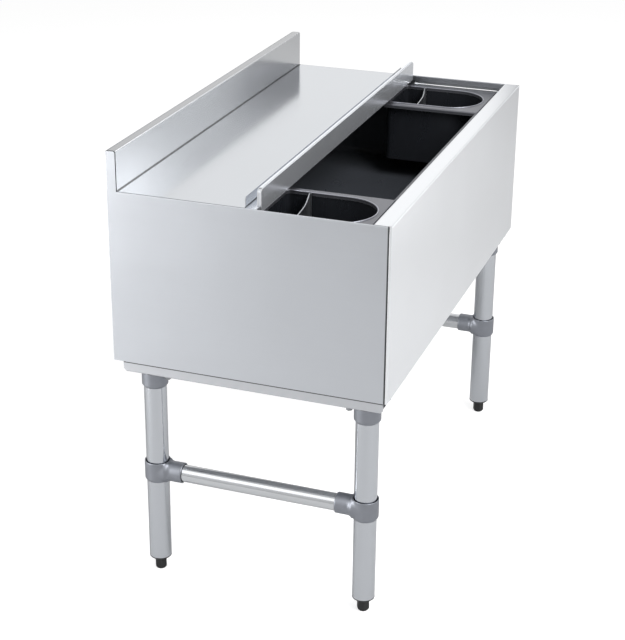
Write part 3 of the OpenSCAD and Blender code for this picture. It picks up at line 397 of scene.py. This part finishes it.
for corner in CORNERS:
    FINISHES[corner + "_leg"] = tube_long
    FINISHES[corner + "_socket"] = fitting_grey
    FINISHES[corner + "_tee"] = fitting_grey
    FINISHES[corner + "_insert"] = foot_nylon
    FINISHES[corner + "_foot"] = foot_threaded


# ---- Pieces ----

def dress(piece, material):
    """Gives a piece one material and takes all others from it."""
    piece.data.materials.clear()
    piece.data.materials.append(material)


def pick(piece):
    """Selects one piece and makes it the active one."""
    bpy.ops.object.select_all(action="DESELECT")
    piece.select_set(True)
    bpy.context.view_layer.objects.active = piece


for name, node in nodes.items():
    dress(node, FINISHES[name])

BEAD_RADIUS = 2.1 * MM
BEAD_CORNER = 10 * MM
BEAD_TO_END = 6.0 * MM      # from the bead's middle to the cabinet's end
BEAD_TO_FRONT = 40.0 * MM   # from the bead's middle to the cabinet's front
BEAD_TO_GUARD = 2 * MM      # from the bead's ends to the guard panel
BEAD_RISE = 2.2 * MM        # from the collar's foot to the bead's middle


def collar_bead():
    """The bright rolled bead on the collar's opening, with round corners: three sides of a
    rectangle, both ends and the front, that a round section follows."""
    side = cad_box[1][0] - BEAD_TO_END
    near = cad_box[0][1] + BEAD_TO_FRONT
    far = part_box("guard_panel")[0][1] - BEAD_TO_GUARD
    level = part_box("bin_collar")[0][2] + BEAD_RISE
    bpy.ops.object.select_all(action="DESELECT")
    bpy.ops.mesh.primitive_plane_add(size=1, location=(0, (near + far) / 2, level))
    bead = bpy.context.object
    bead.name = "collar_bead"
    bpy.ops.object.mode_set(mode="EDIT")
    bpy.ops.mesh.select_all(action="SELECT")
    bpy.ops.transform.resize(value=(2 * side, far - near, 1))
    bpy.ops.mesh.delete(type="ONLY_FACE")
    bpy.ops.object.mode_set(mode="OBJECT")
    for edge in bead.data.edges:
        edge.select = all(bead.data.vertices[v].co.y > 0 for v in edge.vertices)
    bpy.ops.object.mode_set(mode="EDIT")
    bpy.ops.mesh.select_mode(type="EDGE")
    bpy.ops.mesh.delete(type="EDGE")
    bpy.ops.mesh.select_mode(type="VERT")
    bpy.ops.mesh.select_all(action="DESELECT")
    bpy.ops.object.mode_set(mode="OBJECT")
    for point in bead.data.vertices:
        point.select = point.co.y < 0
    bpy.ops.object.mode_set(mode="EDIT")
    bpy.ops.mesh.bevel(offset=BEAD_CORNER, segments=8, affect="VERTICES")
    bpy.ops.object.mode_set(mode="OBJECT")
    bpy.ops.object.convert(target="CURVE")
    bead.data.bevel_depth = BEAD_RADIUS
    bead.data.bevel_resolution = 3
    bead.data.use_fill_caps = True
    bpy.ops.object.convert(target="MESH")
    bpy.ops.object.transform_apply(location=True, rotation=True, scale=True)
    bpy.ops.object.shade_smooth_by_angle(angle=math.radians(40))
    dress(bead, sheet_bead)
    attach(bead, "frame")


collar_bead()

TEE_WELD = 0.01 * MM        # points closer than this are one
TEE_VOXEL = 0.9 * MM
TEE_ARM_RADIUS = 19.0 * MM
TEE_SKIN = 1.2 * MM         # points this far inside the outer faces belong to the bores
HOLLOW_REACH = 14.0 * MM    # how far from the joint of collar and arm the hollow ends,
HOLLOW_FADE = 6.0 * MM      # and over what distance it fades out there
RIM_KEPT = 1.4 * MM         # what is left as it is at the collar's rims,
RIM_FADE = 2.0 * MM         # and over what distance the hollow fades out there
HOLLOW_TIMES = 150
TUMBLE_TIMES = 2


def leg_axis(corner):
    """The middle of a leg, on the floor."""
    low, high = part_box(corner + "_leg")
    return Vector(((low[0] + high[0]) / 2, (low[1] + high[1]) / 2, 0))


def share(value):
    """A value kept between 0 and 1."""
    return min(1.0, max(0.0, value))


def relax(piece, name, times, group=""):
    """Smooths a mesh a number of times, by the weights of a group of points if one is named."""
    step = piece.modifiers.new(name, "SMOOTH")
    step.factor = 0.5
    step.iterations = times
    step.vertex_group = group
    bpy.ops.object.modifier_apply(modifier=step.name)


def cast_tee(corner):
    """A T-fitting as the mould leaves it: its arm runs into its collar in one smooth hollow."""
    tee = bpy.data.objects.new(corner + "_cast_tee", nodes[corner + "_tee"].data.copy())
    bpy.context.scene.collection.objects.link(tee)
    pick(tee)
    bpy.ops.object.mode_set(mode="EDIT")
    bpy.ops.mesh.select_all(action="SELECT")
    bpy.ops.mesh.remove_doubles(threshold=TEE_WELD)
    bpy.ops.object.mode_set(mode="OBJECT")
    skin = tee.modifiers.new("skin", "REMESH")
    skin.mode = "VOXEL"
    skin.voxel_size = TEE_VOXEL
    bpy.ops.object.modifier_apply(modifier=skin.name)

    axis = leg_axis(corner)
    low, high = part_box(corner + "_tee")
    level = (low[2] + high[2]) / 2
    half_height = (high[2] - low[2]) / 2
    collar_r = (high[0] - low[0]) / 2
    junction = tee.vertex_groups.new(name="junction")
    for point in tee.data.vertices:
        out = point.co - axis
        height = point.co.z - level
        past_collar = math.hypot(out.x, out.y) - collar_r
        past_arm = math.hypot(out.x, height) - TEE_ARM_RADIUS
        if past_collar < -TEE_SKIN or past_arm < -TEE_SKIN or out.y < 0:
            continue
        near_joint = share((HOLLOW_REACH - past_collar - past_arm) / HOLLOW_FADE)
        inside_rims = share((half_height - RIM_KEPT - abs(height)) / RIM_FADE)
        if near_joint * inside_rims > 0:
            junction.add([point.index], near_joint * inside_rims, "REPLACE")
    relax(tee, "hollow", HOLLOW_TIMES, junction.name)
    relax(tee, "tumbled", TUMBLE_TIMES)
    bpy.ops.object.shade_smooth()
    dress(tee, fitting_grey)
    return tee


def copied_tee(first, corner):
    """The same casting at another leg, turned to face inwards at the rear."""
    pick(first)
    bpy.ops.object.duplicate()
    tee = bpy.context.object
    tee.name = corner + "_cast_tee"
    start, end = leg_axis(CORNERS[0]), leg_axis(corner)
    bpy.ops.object.mode_set(mode="EDIT")
    bpy.ops.mesh.select_all(action="SELECT")
    if corner.startswith("rear"):
        bpy.ops.transform.resize(value=(1, -1, 1), center_override=start)
        bpy.ops.mesh.normals_make_consistent(inside=False)
    bpy.ops.transform.translate(value=end - start)
    bpy.ops.object.mode_set(mode="OBJECT")
    return tee


first_tee = cast_tee(CORNERS[0])
tees = [first_tee] + [copied_tee(first_tee, corner) for corner in CORNERS[1:]]
for corner, tee in zip(CORNERS, tees):
    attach(tee, "frame")
    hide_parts(corner + "_tee")


# ---- Studio ----

def seen_level(tree, to_camera, to_metal, otherwise):
    """A strength: one value to the camera, one in gloss and glass, one to all other rays."""
    path = add(tree, "ShaderNodeLightPath")
    shiny = add(tree, "ShaderNodeMath", {
        0: path.outputs["Is Glossy Ray"], 1: path.outputs["Is Transmission Ray"]},
        operation="MAXIMUM").outputs["Value"]
    first = add(tree, "ShaderNodeMix", {"Factor": shiny, "A": otherwise, "B": to_metal},
                data_type="FLOAT").outputs["Result"]
    return add(tree, "ShaderNodeMix", {
        "Factor": path.outputs["Is Camera Ray"], "A": first, "B": to_camera},
        data_type="FLOAT").outputs["Result"]


# The floor: white paper where nothing shades it, with the cabinet's soft shadow.
FLOOR_SIDE = 16
FLOOR_GREY = [0.62, 0.62, 0.62, 1.0]
FLOOR_GLOW = 0.60           # what the camera alone sees, added to what the light gives
bpy.ops.object.select_all(action="DESELECT")
bpy.ops.mesh.primitive_plane_add(size=FLOOR_SIDE)
floor = bpy.context.object
floor.name = "studio_floor"
paper, tree, _ = material_start("WhiteStudioFloor")
matt = add(tree, "ShaderNodeBsdfDiffuse", {"Color": FLOOR_GREY})
glow = add(tree, "ShaderNodeEmission", {"Strength": seen_level(tree, FLOOR_GLOW, 0.0, 0.0)})
total = add(tree, "ShaderNodeAddShader", {0: matt.outputs["BSDF"], 1: glow.outputs["Emission"]})
add(tree, "ShaderNodeOutputMaterial", {"Surface": total.outputs["Shader"]})
paper.cycles.emission_sampling = "NONE"
dress(floor, paper)

# A card of grey felt outside the picture. The far ends of the deck and the backsplash mirror it.
CARD_SIZE = (0.30, 0.22, 1)
CARD_PLACE = (1.36, -0.16, 1.05)
CARD_FACES = (-0.86, 0.33, -0.39)
CARD_GREY = [0.22, 0.22, 0.23, 1.0]
bpy.ops.object.select_all(action="DESELECT")
bpy.ops.mesh.primitive_plane_add(size=1)
card = bpy.context.object
card.name = "studio_card"
card.scale = CARD_SIZE
card.location = CARD_PLACE
card.rotation_euler = Vector(CARD_FACES).to_track_quat("Z", "Y").to_euler()
card.visible_camera = False
card.visible_shadow = False
felt, tree, _ = material_start("GreyStudioFelt")
nap = add(tree, "ShaderNodeBsdfDiffuse", {"Color": CARD_GREY})
add(tree, "ShaderNodeOutputMaterial", {"Surface": nap.outputs["BSDF"]})
dress(card, felt)

# The world: white to the camera, a pale studio to all else.
WORLD_TO_CAMERA, WORLD_TO_METAL, WORLD_OTHERWISE = 1.0, 0.70, 0.56
world = bpy.data.worlds.new("StudioWorld")
world.use_nodes = True
world.cycles.sampling_method = "NONE"
bpy.context.scene.world = world
tree = world.node_tree
tree.nodes.clear()
sky = add(tree, "ShaderNodeBackground", {
    "Color": [1.0, 1.0, 1.0, 1.0],
    "Strength": seen_level(tree, WORLD_TO_CAMERA, WORLD_TO_METAL, WORLD_OTHERWISE)})
add(tree, "ShaderNodeOutputWorld", {"Surface": sky.outputs["Background"]})

# Each softbox: its name, where it hangs, the point that it faces, its side and its power in watts.
SOFTBOXES = (
    ("softbox_left", (-1.4, 1.5, 0.60), (-0.46, 0.15, 0.5), 0.9, 20),
    ("softbox_high_left", (-1.9, 0.9, 1.9), (-0.46, 0.15, 0.5), 1.4, 7),
    ("softbox_high_front", (-1.0, -1.8, 2.6), (0, 0, 0.5), 1.6, 76),
    ("softbox_floor", (2.4, -1.1, 1.2), (2.4, -1.1, 0), 0.8, 3.5),
    ("softbox_front", (0.9, -1.3, 0.55), (-0.1, -0.25, 0.5), 0.9, 3),
    ("softbox_small", (1.36, -0.70, 1.47), (-0.40, 0.19, 0.79), 0.26, 0.35),
    ("softbox_back", (3.2, 1.2, 2.2), (0, 0, 0.7), 2.0, 5),
)
for name, place, aim, size, power in SOFTBOXES:
    lamp = bpy.data.lights.new(name, "AREA")
    lamp.size = size
    lamp.energy = power
    holder = bpy.data.objects.new(name, lamp)
    bpy.context.scene.collection.objects.link(holder)
    holder.location = place
    holder.rotation_euler = (Vector(aim) - Vector(place)).to_track_quat("-Z", "Y").to_euler()
    holder.visible_camera = False

# The camera stands where the photograph was taken from.
CAMERA_PLACE = (-2.763, -0.933, 1.646)
LOOKS_ROUND = math.radians(20.73)   # from the cabinet's length towards its back
LOOKS_DOWN = math.radians(22.85)
lens = bpy.data.cameras.new("photo_camera")
lens.sensor_width = 36
lens.lens = 89.7
lens.shift_x = 0.0525
lens.shift_y = -0.0384
camera = bpy.data.objects.new("photo_camera", lens)
bpy.context.scene.collection.objects.link(camera)
camera.location = CAMERA_PLACE
ahead = Vector((math.cos(LOOKS_DOWN) * math.cos(LOOKS_ROUND),
                math.cos(LOOKS_DOWN) * math.sin(LOOKS_ROUND),
                -math.sin(LOOKS_DOWN)))
camera.rotation_euler = ahead.to_track_quat("-Z", "Y").to_euler()
bpy.context.scene.camera = camera
bpy.context.scene.view_settings.view_transform = "Standard"
